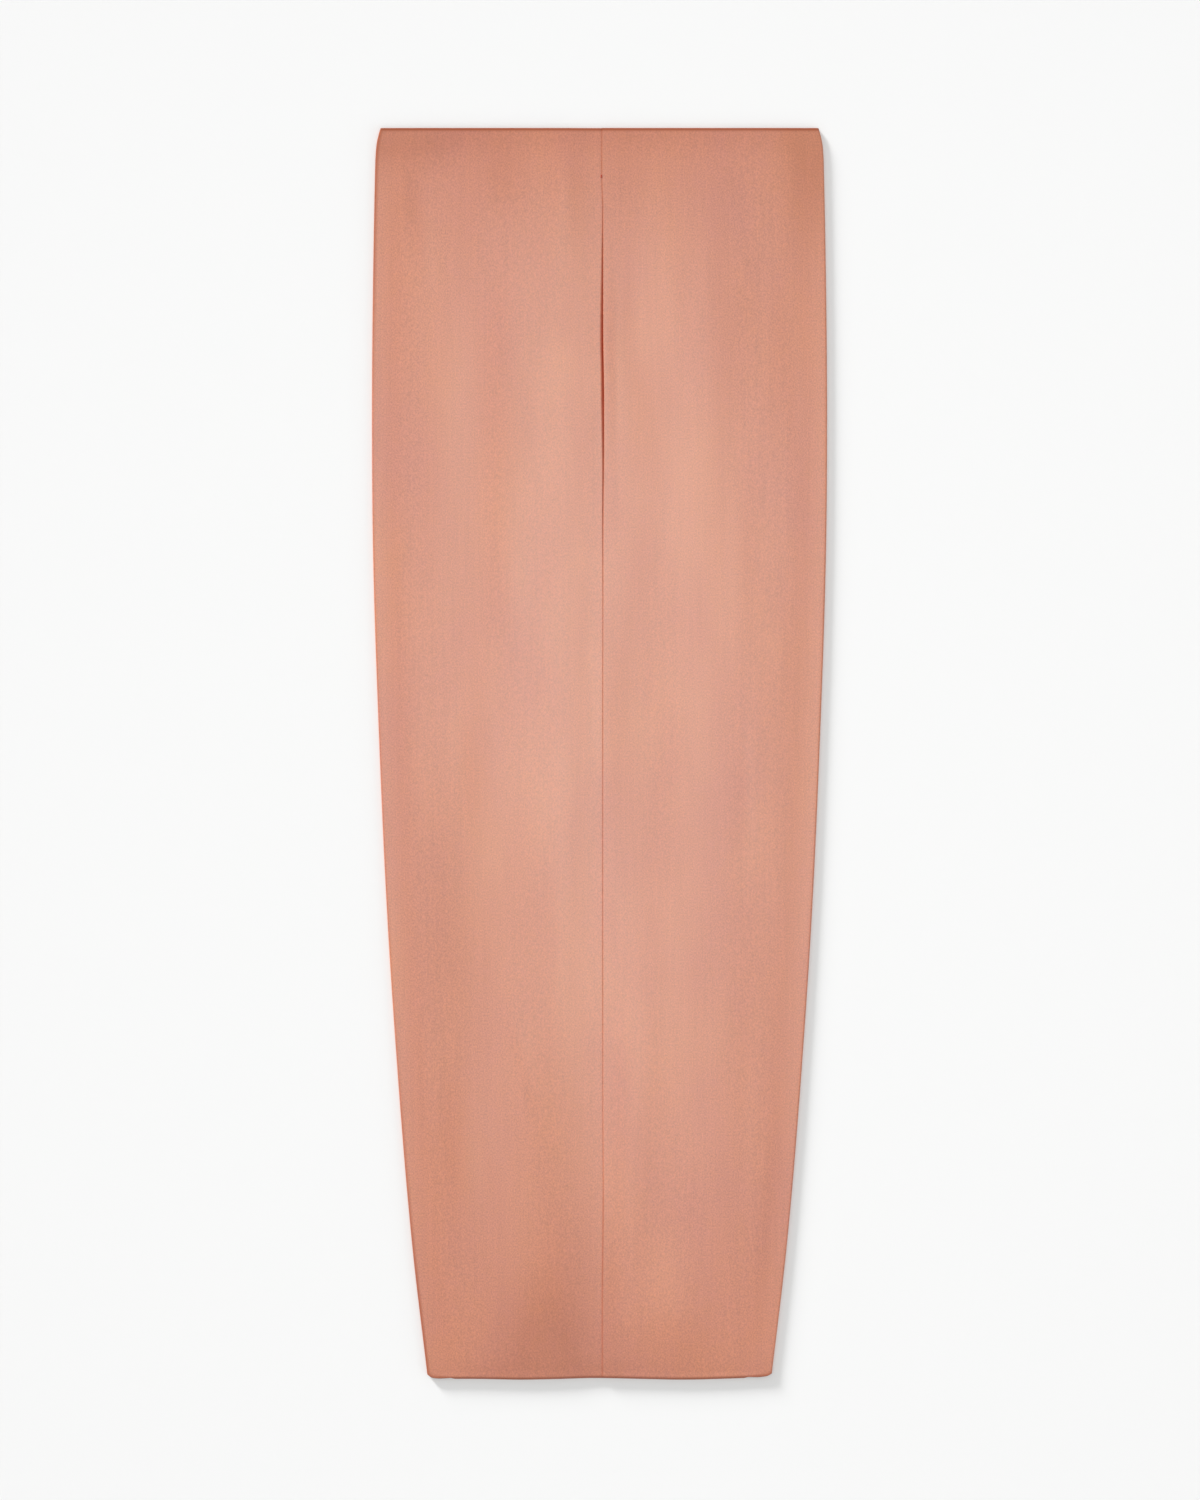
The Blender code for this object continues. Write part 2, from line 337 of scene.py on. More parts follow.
def past_free_edge(across, below_waist):
    return across - smooth_through(FREE_EDGE, below_waist)


def parted(below_waist):
    """0 where the wrap lies closed, 1 where it parts the most."""
    return np.clip(smooth_through(PARTINGS, below_waist) / DEEPEST_PARTING, 0.0, 1.0)


def over_height(across, below_waist):
    past_edge = past_free_edge(across, below_waist)
    lift = EDGE_LIFT * parted(below_waist) * eased(1 - past_edge / EDGE_LIFT_REACH)
    return front_height(across, below_waist) + lift


def under_height(across, below_waist):
    past_edge = past_free_edge(across, below_waist)
    width = DIP_CLOSED + (DIP_PARTED - DIP_CLOSED) * parted(below_waist)
    sink = DEEPEST_PARTING * parted(below_waist) * eased(1 - past_edge / PARTING_REACH)
    approach = APPROACH_DROP * eased(1 + past_edge / APPROACH_WIDTH)
    drop = (EDGE_STEP - APPROACH_DROP + sink) * eased((past_edge + width) / (width + DIP_ENDS))
    tuck = (WALL + OVERLAP_GAP - EDGE_STEP) * eased(past_edge / TUCK_UNDER)
    return front_height(across, below_waist) - approach - drop - tuck


# %% [markdown]
# ## A shell of cloth
# Each piece is a grid that is bent into place, with the Solidify modifier to give it thickness.
# A column of the grid is a rule for where it lies across the skirt: so much of the half width,
# so much of the free edge's place, and so much past them. That keeps the columns parallel to the
# side near the side, and to the free edge near the free edge. The rule also says how high the
# cloth lies, unless it follows the front, and how far in it is from a turned edge. The spacing
# starts fine at an edge and grows inwards, so that turned edges are round and the middle isn't
# wasteful. A finely subdivided plane would do too, but it would need many times the faces.

# %% Columns and rows
Column = namedtuple("Column", "of_width of_edge past height from_edge")
Steps = namedtuple("Steps", "first growth largest")
FINEST = 0.00006
FRONT_ROW_STEPS = Steps(FINEST, 1.6, 0.0039)


def graded(length, steps):
    """Places from 0 to length whose steps grow from the first up to the largest."""
    places, step = [0.0], steps.first
    while places[-1] < length:
        places.append(places[-1] + step)
        step = min(step * steps.growth, steps.largest)
    return [place * length / places[-1] for place in places]


def row_places(steps):
    """Shares of the length from waist to hem, fine at both ends."""
    waist_half = np.array(graded(LENGTH / 2, steps)) / LENGTH
    return np.concatenate([waist_half, 1 - waist_half[-2::-1]])


def top_columns(side, first_offset, count):
    """From the top of the side fold to a place beside the free edge, evenly."""
    columns = []
    for share in np.arange(1, count) / count:
        past = -(1 - share) * side * FOLD_RADIUS + share * first_offset
        columns.append(Column(side * (1 - share), share, past, None, RETURN_WIDTH))
    return columns


FRONT_ROWS = row_places(FRONT_ROW_STEPS)
print(len(FRONT_ROWS), "rows from waist to hem")

# %% [markdown]
# ## The side fold
# At each side a front turns under and meets the back in a seam on the underside. A half circle
# would do for the fold, but pressed cloth turns a little more squarely. So its round is a
# superellipse: the sine and the cosine of the turn are raised to a power below one.

# %% Columns round a side fold
RETURN_STEPS = Steps(FINEST, 1.9, 0.0016)
SIDE_TURNS = 16
SIDE_SQUARENESS = 0.67


def side_columns(side):
    """From the seam with the back, out under the side and up round the fold."""
    middle_radius = FOLD_RADIUS - CLOTH / 2
    columns = []
    for inwards in graded(RETURN_WIDTH - FOLD_RADIUS, RETURN_STEPS)[:-1]:
        past = -side * (RETURN_WIDTH - inwards)
        columns.append(Column(side, 0.0, past, CLOTH / 2, inwards))
    for turn in np.linspace(0.0, math.pi, SIDE_TURNS):
        outwards = max(math.sin(turn), 0.0) ** SIDE_SQUARENESS
        upwards = math.copysign(abs(math.cos(turn)) ** SIDE_SQUARENESS, -math.cos(turn))
        past = -side * (FOLD_RADIUS - middle_radius * outwards)
        height = FOLD_RADIUS + middle_radius * upwards
        columns.append(Column(side, 0.0, past, height, RETURN_WIDTH))
    return columns


print(len(side_columns(1)), "columns round a side fold")

# %% [markdown]
# ## From rules to points
# The rules of the columns and the shares of the rows meet here and become places. Each column is
# cut off at the hem line. The corners of a hem can be drawn up a little, as the back's are, or
# let down, as the fronts' are.

# %% Lay out the points
CORNER_FROM = 0.84
CORNER_SOFT = 0.10


def by_the_corner(share):
    """0 over the middle of the hem, rising to 1 at its corners."""
    return eased((np.abs(share) - CORNER_FROM) / CORNER_SOFT)


def lay_out(columns, rows, cut_length, height_of, corner_tuck):
    """Points of the middle of the cloth, and distances in from its ends, by row and column."""
    of_width, of_edge, past, fixed, from_edge = np.array(
        [[np.nan if value is None else value for value in column] for column in columns], float
    ).T
    share = of_width * half_width(LENGTH) + of_edge * smooth_through(FREE_EDGE, LENGTH) + past
    share = share / half_width(LENGTH)
    length = cut_length - smooth_through(HEM_LINE, share) - corner_tuck * by_the_corner(share)
    below = rows[:, None] * length[None, :]
    across = of_width * half_width(below) + of_edge * smooth_through(FREE_EDGE, below) + past
    heights = np.where(np.isnan(fixed), height_of(across, below) - CLOTH / 2, fixed)
    from_hem = length[None, :] - below
    return across, below, heights, from_hem, np.broadcast_to(from_edge, below.shape)


# %% [markdown]
# ## Turned edges
# A cut edge is folded under and pressed, so it ends in a small half round. Here the Solidify
# thickness fades towards each edge as a half circle does, through a vertex group. At the hem the
# turned cloth also makes a low roll on the upper face, just inside the edge.

# %% Roundness of an edge and roll of a hem
LEAST_EDGE = 0.14
HEM_ROLL_HEIGHT = 0.00014
HEM_ROLL_PLACE = 0.0018
HEM_ROLL_WIDTH = 0.0012
HEM_ROLL_FADE = 0.010


def edge_roundness(distance):
    """Share of the full thickness at a distance in from a turned edge."""
    inwards = np.clip(distance / (CLOTH / 2), 0.0, 1.0)
    return np.clip(np.sqrt(1 - (1 - inwards) ** 2), LEAST_EDGE, 1.0)


def hem_roll(across, below, from_hem):
    """Height of the roll that a turned hem makes, fading before the side folds."""
    roll = HEM_ROLL_HEIGHT * np.exp(-(((from_hem - HEM_ROLL_PLACE) / HEM_ROLL_WIDTH) ** 2))
    from_fold = half_width(below) - FOLD_RADIUS - np.abs(across)
    return roll * eased(from_fold / HEM_ROLL_FADE)


print(f"an edge thins from {CLOTH * 1000:.2f} to {CLOTH * LEAST_EDGE * 1000:.2f} mm")

# %% [markdown]
# ## Tones painted on the points
# Some tones belong to a place on the garment: the painted shade inside the parting, the painted
# shade of the rim where an edge turns under, and the patches where satin lies duller, with less
# gloss and a painted shade. A texture can't know those places, so each tone is a number on the
# points, which the finish reads later. A duller patch is a row of the same kind as a fold, with
# its strength in place of a height.

# %% Painted rim shade, and duller patches with painted shade
CREVICE_TONE = "crevice"
RIM_SHADE_TONE = "rim"
DULL_AND_SHADE_TONE = "dull_and_shaded"
# Rims: a painted shade where the cloth turns under at the waist, the hem and the left side.
WAIST_RIM = 0.0030
WAIST_RIM_STRENGTH = 1.0
HEM_RIM = 0.0012
HEM_RIM_STRENGTH = 0.60
CORNER_RIM = 0.0020
SIDE_RIM = 0.0026
SIDE_RIM_STRENGTH = 0.65
SIDE_RIM_TOP_END = 0.30
SIDE_RIM_HEM_START = 0.70
SIDE_RIM_FADE = 0.30
# Duller patches are rougher and also darkened with a painted shade; these bands paint shade along
# the waist and the hem.
DULL_AND_SHADED_AT_ENDS = (
    Fold(-0.03, 0.03, 0.000, 0.000, 0.300, 0.5),
    Fold(-0.13, 0.13, 0.000, 0.000, 0.400, 0.22),
    Fold(1.005, 1.055, 0.000, 0.000, 0.300, 0.5),
)


def rim_strength(distance, width):
    """1 over the outer half of a rim, fading to 0 over its inner half."""
    return eased(2 - 2 * distance / width)


def outer_rims(across, below, from_hem, hem_rim_width):
    """The painted shade along the waist and the hem and, near both, down the left side."""
    corner = by_the_corner(across / half_width(below))
    waist_rim = WAIST_RIM_STRENGTH * rim_strength(below, WAIST_RIM)
    hem_rim = HEM_RIM_STRENGTH * rim_strength(from_hem, hem_rim_width + CORNER_RIM * corner)
    near_waist = eased(1 - below / SIDE_RIM_TOP_END)
    near_hem = eased((below - SIDE_RIM_HEM_START) / SIDE_RIM_FADE)
    side_rim = (near_waist + near_hem) * rim_strength(half_width(below) + across, SIDE_RIM)
    return np.maximum(np.maximum(waist_rim, hem_rim), SIDE_RIM_STRENGTH * side_rim)


def no_tone(across, below):
    return np.zeros(below.shape)


print(len(DULL_AND_SHADED_AT_ENDS), "duller bands at the ends of every front")

# %% [markdown]
# ## Bending a grid
# Blender's own grid gives the faces, and its points are then moved onto the cloth. Building the
# faces by hand would work as well, but the grid has them in order and with the right sides out.

# %% Bend a grid onto points


def bent_grid(name, points):
    """A mesh bent onto rows and columns of points, and each vertex's row and column."""
    row_count, column_count = points.shape[:2]
    grid = bmesh.new()
    bmesh.ops.create_grid(grid, x_segments=column_count - 1, y_segments=row_count - 1, size=0.5)
    mesh = bpy.data.meshes.new(name)
    grid.to_mesh(mesh)
    grid.free()
    flat = np.empty(len(mesh.vertices) * 3)
    mesh.vertices.foreach_get("co", flat)
    flat = flat.reshape(-1, 3)
    column = np.rint((flat[:, 0] + 0.5) * (column_count - 1)).astype(int)
    row = np.rint((flat[:, 1] + 0.5) * (row_count - 1)).astype(int)
    mesh.vertices.foreach_set("co", points[row, column].ravel())
    mesh.shade_smooth()
    return mesh, row, column


# %% Build a shell


def cloth_shell(
    name,
    columns,
    rows,
    cut_length,
    height_of,
    crevice_of=no_tone,
    rim_shade_of=no_tone,
    dull_and_shaded_patches=(),
    corner_tuck=0.0,
    hem_rim_width=HEM_RIM,
):
    """A piece of cloth with its thickness, its turned edges and its painted tones."""
    across, below, heights, from_hem, from_edge = lay_out(
        columns, rows, cut_length, height_of, corner_tuck
    )
    on_top = np.array([column.height is None for column in columns])
    heights = heights + hem_roll(across, below, from_hem) * on_top
    points = np.stack([across, WAIST_Y - below, heights], axis=2)
    mesh, row, column = bent_grid(name, points)
    tones = {
        CREVICE_TONE: crevice_of(across, below),
        RIM_SHADE_TONE: outer_rims(across, below, from_hem, hem_rim_width) + rim_shade_of(across, below),
        DULL_AND_SHADE_TONE: np.clip(fold_heights(dull_and_shaded_patches, across, below), 0.0, 1.0),
    }
    for tone_name, tone in tones.items():
        attribute = mesh.attributes.new(tone_name, "FLOAT", "POINT")
        attribute.data.foreach_set("value", tone[row, column])
    piece = bpy.data.objects.new(name, mesh)
    bpy.context.scene.collection.objects.link(piece)
    weights = np.minimum(edge_roundness(from_edge), edge_roundness(np.minimum(below, from_hem)))
    group = piece.vertex_groups.new(name="turned_edge")
    for index, weight in enumerate(weights[row, column]):
        group.add([index], float(weight), "REPLACE")
    wall = piece.modifiers.new("cloth", "SOLIDIFY")
    wall.thickness = CLOTH
    wall.offset = 0.0
    wall.use_even_offset = True
    wall.vertex_group = group.name
    print(f"{name}: {len(columns)} columns x {len(rows)} rows")
    return piece


# %% [markdown]
# ## The over front
# The viewer's right half. It is laid over the other, and its free edge runs from waist to hem
# just right of the middle. Where the wrap lies closed, above the tack and near the hem, the
# rounded edge itself takes a painted shade.

# %% Duller patches of the over front, with painted shade
# Painted shade and less gloss where the over front should look darker.
DULL_AND_SHADED_ON_OVER = DULL_AND_SHADED_AT_ENDS + (
    Fold(0.04, 0.30, 0.150, 0.146, 0.014, 0.3),
    Fold(-0.14, 0.14, 0.174, 0.174, 0.022, 1.0),
    Fold(-0.06, 0.12, 0.018, 0.020, 0.018, 0.15),
    Fold(0.86, 1.12, 0.009, 0.007, 0.010, 0.4),
    Fold(0.30, 0.66, 0.150, 0.146, 0.024, 0.16),
    Fold(0.50, 0.94, 0.134, 0.128, 0.034, 0.15),
    Fold(0.36, 0.62, 0.012, 0.012, 0.010, 0.12),
    Fold(0.16, 0.32, 0.034, 0.036, 0.012, 0.10),
    Fold(0.26, 0.80, 0.052, 0.056, 0.030, 0.11),
)
print(len(DULL_AND_SHADED_ON_OVER), "patches on the over front")

# %% Over front
OVER_COLUMNS = 76
OVER_FINE = 0.012
OVER_EDGE_STEPS = Steps(FINEST, 1.35, 0.0020)
FRONT_CORNER_REACH = 0.0008
EDGE_SHADE = 0.35
EDGE_SHADE_WIDTH = 0.0014
EDGE_SHADE_TOP_END = 0.055
EDGE_SHADE_TOP_FADE = 0.03
NEAR_HEM_FROM = 0.84
NEAR_HEM_SOFT = 0.06


def near_the_hem(below):
    return eased((below - NEAR_HEM_FROM) / NEAR_HEM_SOFT)


def on_the_free_edge(across, below):
    """The painted shade on the rounded edge itself, where the wrap lies closed at its ends."""
    near_the_tack = eased(1 - (below - EDGE_SHADE_TOP_END) / EDGE_SHADE_TOP_FADE)
    along = near_the_tack + near_the_hem(below)
    return EDGE_SHADE * along * eased(1 - past_free_edge(across, below) / EDGE_SHADE_WIDTH)


over_columns = side_columns(1)
over_columns += top_columns(1, OVER_FINE, OVER_COLUMNS)
for inwards in reversed(graded(OVER_FINE, OVER_EDGE_STEPS)):
    over_columns.append(Column(0.0, 1.0, inwards, None, inwards))
over_front = cloth_shell(
    "over_front_cloth",
    over_columns,
    FRONT_ROWS,
    FRONT_LENGTH,
    over_height,
    rim_shade_of=on_the_free_edge,
    dull_and_shaded_patches=DULL_AND_SHADED_ON_OVER,
    corner_tuck=-FRONT_CORNER_REACH,
)

# %% [markdown]
# ## The under front
# The viewer's left half. At the free edge it dips and runs on beneath the over front. The shade
# inside that parting is a deep rust, because light there bounces from satin to satin. Rendering
# all those bounces would be slow and noisy, so the rust is painted as a tone along the dip.

# %% Duller patches of the under front, with painted shade
# Painted shade and less gloss where the under front should look darker.
DULL_AND_SHADED_ON_UNDER = DULL_AND_SHADED_AT_ENDS + (
    Fold(0.84, 1.18, -0.024, -0.064, 0.026, 0.8),
    Fold(0.92, 1.13, -0.048, -0.040, 0.048, 0.6),
    Fold(0.72, 1.24, -0.120, -0.090, 0.060, 0.16),
    Fold(0.74, 0.94, -0.124, -0.124, 0.012, 0.3),
    Fold(-0.05, 0.050, -0.165, -0.165, 0.055, 1.0),
    Fold(0.68, 0.98, -0.050, -0.030, 0.022, 0.25),
    Fold(0.46, 0.90, -0.138, -0.116, 0.030, 0.35),
    Fold(0.01, 0.11, -0.158, -0.156, 0.010, 0.3),
    Fold(-0.03, 0.09, -0.084, -0.078, 0.016, 0.3),
    Fold(0.14, 0.56, -0.118, -0.118, 0.016, 0.06),
    Fold(0.14, 0.40, -0.070, -0.070, 0.012, 0.10),
    Fold(0.52, 0.80, -0.082, -0.044, 0.034, 0.12),
    Fold(0.46, 0.62, -0.108, -0.104, 0.016, 0.12),
)
print(len(DULL_AND_SHADED_ON_UNDER), "patches on the under front")

# %% Under front
UNDER_COLUMNS = 66
UNDER_FINE = 0.034
UNDER_EDGE_STEPS = Steps(0.00022, 1.09, 0.0022)
UNDERLAP_STEPS = Steps(FINEST, 1.5, 0.0052)
# Painted shade: a deep rust tone stands in for the light that bounces inside the parting.
PARTING_SHADE_WIDTH_CLOSED = 0.0004
PARTING_SHADE_WIDTH_PARTED = 0.0026
PARTING_SHADE_WIDTH_NEAR_HEM = 0.0010
PARTING_SHADE_PARTED = 0.95
PARTING_SHADE_NEAR_HEM = 0.10


def in_the_parting(across, below):
    """The painted rust-coloured shade inside the parting, and a trace of it along the free edge
    near the hem.
    """
    width = PARTING_SHADE_WIDTH_CLOSED + PARTING_SHADE_WIDTH_PARTED * parted(below)
    width = width + PARTING_SHADE_WIDTH_NEAR_HEM * near_the_hem(below)
    line = eased((past_free_edge(across, below) + width) / width)
    strength = PARTING_SHADE_PARTED * parted(below) + PARTING_SHADE_NEAR_HEM * near_the_hem(below)
    return line * np.minimum(strength, 1.0)


under_columns = side_columns(-1)
under_columns += top_columns(-1, -UNDER_FINE, UNDER_COLUMNS)
for inwards in reversed(graded(UNDER_FINE, UNDER_EDGE_STEPS)):
    under_columns.append(Column(0.0, 1.0, -inwards, None, RETURN_WIDTH))
lap = np.array(graded(UNDERLAP, UNDERLAP_STEPS))[::-1] / UNDERLAP
for share in lap[1:]:
    under_columns.append(Column(0.0, share, (1 - share) * UNDERLAP, None, share * UNDERLAP))
under_front = cloth_shell(
    "under_front_cloth",
    under_columns,
    FRONT_ROWS,
    FRONT_LENGTH,
    under_height,
    crevice_of=in_the_parting,
    dull_and_shaded_patches=DULL_AND_SHADED_ON_UNDER,
    corner_tuck=-FRONT_CORNER_REACH,
)

# %% [markdown]
# ## The back
# One flat piece on the surface, so it needs far fewer points. Only a sliver of its hem shows
# below the fronts, and that sliver is in their shade, which a wide painted shade on its hem
# deepens.

# %% Back
BACK_ROW_STEPS = Steps(FINEST, 1.9, 0.0080)
BACK_ACROSS_STEPS = Steps(FINEST * 4, 1.8, 0.06)
BACK_TUCK = 0.0030
# The back's hem takes a wider painted shade than the fronts'.
BACK_HEM_RIM = 0.0060


def lying_flat(across, below):
    return np.full(across.shape, CLOTH)


back_reach = RETURN_WIDTH + SEAM_GAP
shares_in = graded(1.0, BACK_ACROSS_STEPS)
back_columns = []
for side, shares in ((-1, shares_in), (1, shares_in[-2::-1])):
    for inwards in shares:
        from_side = inwards * half_width(LENGTH / 2)
        past = -side * (1 - inwards) * back_reach
        back_columns.append(Column(side * (1 - inwards), 0.0, past, CLOTH / 2, from_side))
back = cloth_shell(
    "back_cloth",
    back_columns,
    row_places(BACK_ROW_STEPS),
    LENGTH,
    lying_flat,
    corner_tuck=BACK_TUCK,
    hem_rim_width=BACK_HEM_RIM,
)

# %% [markdown]
# ## The bar tack
# Where the wrap's closed top ends, a few tight stitches take the strain. A bump could only hint
# at them. They are made as short arcs of thread, side by side over the free edge, in one curve
# object with a round bevel.

# %% Bar tack
TACK_BELOW_WAIST = 0.040
TACK_STITCHES = 9
TACK_PITCH = 0.00028
TACK_REACH = 0.0006
TACK_LEFT_FOOT = 1.6
TACK_STARTS = 1.2
TACK_SPANS = 2.0
TACK_ARCH = 0.00025
TACK_SEGMENTS = 6
THREAD_RADIUS = 0.00017

thread = bpy.data.curves.new("bar_tack", "CURVE")
thread.dimensions = "3D"
thread.bevel_depth = THREAD_RADIUS
thread.bevel_resolution = 2
thread.use_fill_caps = True
for stitch in range(TACK_STITCHES):
    below = TACK_BELOW_WAIST + (stitch - TACK_STITCHES / 2) * TACK_PITCH
    edge = float(smooth_through(FREE_EDGE, below))
    left = float(under_height(np.array(edge - TACK_REACH * TACK_LEFT_FOOT), np.array(below)))
    right = float(over_height(np.array(edge + TACK_REACH), np.array(below)))
    spline = thread.splines.new("POLY")
    spline.points.add(TACK_SEGMENTS)
    for step, point in enumerate(spline.points):
        share = step / TACK_SEGMENTS
        across = edge - TACK_REACH * TACK_STARTS + share * TACK_REACH * TACK_SPANS
        height = left + (right - left) * share + math.sin(math.pi * share) * TACK_ARCH
        point.co = (across, WAIST_Y - below, height, 1.0)
bar_tack = bpy.data.objects.new("bar_tack", thread)
bpy.context.scene.collection.objects.link(bar_tack)
print(TACK_STITCHES, "stitches in the bar tack")

# %% [markdown]
# ## Shader maths as expressions
# A finish is a tree of small nodes. Written out node by node it is hard to read, so it is
# written as sums and products: a Wire stands for one socket, and each sum or product of wires
# adds its Math node. Any other node comes from one method of Finish, which first sets the node's
# own settings and then fills its sockets with values or wires.

# %% Wire and Finish
Pattern = namedtuple("Pattern", "a_metre detail roughness", defaults=(0.5,))


class Wire:
    """An output socket that can be used in sums and products."""

    def __init__(self, finish, socket):
        self.finish = finish
        self.socket = socket

    def math(self, operation, first, second):
        return self.finish.node("ShaderNodeMath", {"operation": operation}, {0: first, 1: second})

    def __add__(self, other):
        return self.math("ADD", self, other)

    def __sub__(self, other):
        return self.math("SUBTRACT", self, other)

    def __rsub__(self, other):
        return self.math("SUBTRACT", other, self)

    def __mul__(self, other):
        return self.math("MULTIPLY", self, other)

    __radd__ = __add__
    __rmul__ = __mul__


class Finish:
    """A material in the making, with one way to add any node to it."""

    def __init__(self, name, **fixed):
        self.material = bpy.data.materials.new(name)
        self.material.use_nodes = True
        self.tree = self.material.node_tree
        self.shader = self.tree.nodes["Principled BSDF"]
        for socket, value in fixed.items():
            self.shader.inputs[socket.replace("_", " ")].default_value = value

    def fill(self, socket, value):
        if isinstance(value, Wire):
            self.tree.links.new(value.socket, socket)
        else:
            socket.default_value = value

    def node(self, kind, settings, values, output=0):
        made = self.tree.nodes.new(kind)
        for name, value in settings.items():
            setattr(made, name, value)
        for name, value in values.items():
            self.fill(pick(made.inputs, name), value)
        return Wire(self, pick(made.outputs, output))

    def mix(self, factor, first, second, blend="MIX"):
        settings = {"data_type": "RGBA", "blend_type": blend}
        values = {"Factor": factor, "A": first, "B": second}
        return self.node("ShaderNodeMix", settings, values, "Result")

    def place(self):
        return self.node("ShaderNodeTexCoord", {}, {}, "Object")

    def painted(self, tone_name):
        return self.node("ShaderNodeAttribute", {"attribute_name": tone_name}, {}, "Fac")

    def bump(self, height, strength, depth):
        values = {"Strength": strength, "Distance": depth, "Height": height}
        return self.node("ShaderNodeBump", {}, values, "Normal")

    def noise(self, place, pattern):
        """Soft noise with so many waves a metre along each axis."""
        settings, values = {"operation": "MULTIPLY"}, {0: place, 1: pattern.a_metre}
        scaled = self.node("ShaderNodeVectorMath", settings, values)
        values = {"Detail": pattern.detail, "Roughness": pattern.roughness}
        values |= {"Vector": scaled, "Scale": 1.0}
        return self.node("ShaderNodeTexNoise", {}, values, "Fac")

    def surface(self, **wires):
        for socket, wire in wires.items():
            self.fill(self.shader.inputs[socket.replace("_", " ")], wire)
        return self.material


def pick(sockets, key):
    """A socket by number, or by name among those that the node's settings leave in use."""
    if isinstance(key, int):
        return sockets[key]
    return next(socket for socket in sockets if socket.name == key and socket.enabled)


# %% [markdown]
# ## The satin
# Satin floats its warp threads over several weft threads, so its face is smooth and picks up a
# pale, soft glare. Its hue drifts in broad clouds between a warmer and a cooler tone, and a fine
# crepe grain and a few long slubs break it up. The tones painted on the points do the rest: a
# painted rust-coloured shade in the parting, a painted shade at turned edges, and on the duller
# patches less gloss and some painted shade. A picture of satin could be wrapped on instead, but
# it would repeat and bring its own light along. The noises have a mean of one half, so the
# weights of the grain come to a mean near one.

# %% Satin finish
SATIN_WARM = (0.491, 0.1645, 0.078, 1.0)
SATIN_COOL = (0.463, 0.1545, 0.096, 1.0)
# Colours of painted shade: on duller patches, in the parting and along the rims.
SATIN_PAINTED_SHADE = (0.16, 0.045, 0.024, 1.0)
SATIN_PARTING_SHADE = (0.68, 0.058, 0.010, 1.0)
SATIN_RIM_SHADE = (0.30, 0.056, 0.008, 1.0)
SATIN_GLOSS = dict(Metallic=0.0, Specular_IOR_Level=1.0, Sheen_Weight=0.08, Sheen_Roughness=0.4)
CLOUDS = Pattern((14.0, 7.0, 14.0), 3.0)
MOTTLE = Pattern((150.0, 150.0, 150.0), 2.0)
SLUBS = Pattern((420.0, 16.0, 420.0), 1.0)
CREPE = Pattern((950.0, 700.0, 950.0), 2.0, 0.6)
FLOATS = Pattern((2300.0, 520.0, 2300.0), 1.0)
COOL_FROM = 1.0
COOL_BY_CLOUDS = 2.2
COOL_BY_MOTTLE = 0.8
LIGHT_LEAST = 0.450
LIGHT_BY_CREPE = 0.92
LIGHT_BY_MOTTLE = 0.08
LIGHT_BY_SLUBS = 0.13
PAINTED_SHADE_WHERE_DULL = 0.16
ROUGH_LEAST = 0.27
ROUGH_BY_CLOUDS = 0.09
ROUGH_BY_CREPE = 0.06
ROUGH_IN_PARTING = 0.3
ROUGH_WHERE_DULL = 0.25
TINT_IN_PARTING = 0.50
TINT_AT_RIM = 0.20
RAISED_BY_FLOATS = 0.6
RAISED_BY_CREPE = 0.4
WEAVE_BUMP = 0.09
WEAVE_DEPTH = 0.00006


def satin_finish(name):
    """Colour, roughness and height are weighted sums of the patterns and the painted tones."""
    finish = Finish(name, **SATIN_GLOSS)
    place = finish.place()
    clouds = finish.noise(place, CLOUDS)
    mottle = finish.noise(place, MOTTLE)
    slubs = finish.noise(place, SLUBS)
    crepe = finish.noise(place, CREPE)
    floats = finish.noise(place, FLOATS)
    crevice = finish.painted(CREVICE_TONE)
    rim = finish.painted(RIM_SHADE_TONE)
    dull_and_shaded = finish.painted(DULL_AND_SHADE_TONE)
    cool = COOL_BY_CLOUDS * clouds + COOL_BY_MOTTLE * mottle - COOL_FROM
    light = LIGHT_BY_CREPE * crepe + LIGHT_BY_MOTTLE * mottle + LIGHT_BY_SLUBS * slubs
    light = light + LIGHT_LEAST
    rough = ROUGH_LEAST + ROUGH_BY_CLOUDS * clouds + ROUGH_BY_CREPE * crepe
    rough = rough + ROUGH_IN_PARTING * crevice + ROUGH_WHERE_DULL * dull_and_shaded
    raised = RAISED_BY_FLOATS * floats + RAISED_BY_CREPE * crepe
    grain = finish.node("ShaderNodeCombineColor", {}, {0: light, 1: light, 2: light})
    colour = finish.mix(1.0, finish.mix(cool, SATIN_WARM, SATIN_COOL), grain, "MULTIPLY")
    # Painted shade: duller patches darken towards a shade colour, and the parting and the rims
    # take their painted shade colours.
    colour = finish.mix(PAINTED_SHADE_WHERE_DULL * dull_and_shaded, colour, SATIN_PAINTED_SHADE)
    colour = finish.mix(crevice, colour, SATIN_PARTING_SHADE)
    colour = finish.mix(rim, colour, SATIN_RIM_SHADE)
    return finish.surface(
        Base_Color=colour,
        Roughness=rough,
        # The metallic tint colours the glare in the parting and on the rims, as a painted
        # reflection.
        Metallic=TINT_IN_PARTING * crevice + TINT_AT_RIM * rim,
        Normal=finish.bump(raised, WEAVE_BUMP, WEAVE_DEPTH),
    )


satin = satin_finish("satin")
for piece in (over_front, under_front, back):
    piece.data.materials.append(satin)
print("satin:", len(satin.node_tree.nodes), "nodes")

# %% [markdown]
# ## The thread
# The tack is sewn in a darker thread. Its plies could be modelled, but a fine twist in colour and
# bump along each stitch is enough at this size.

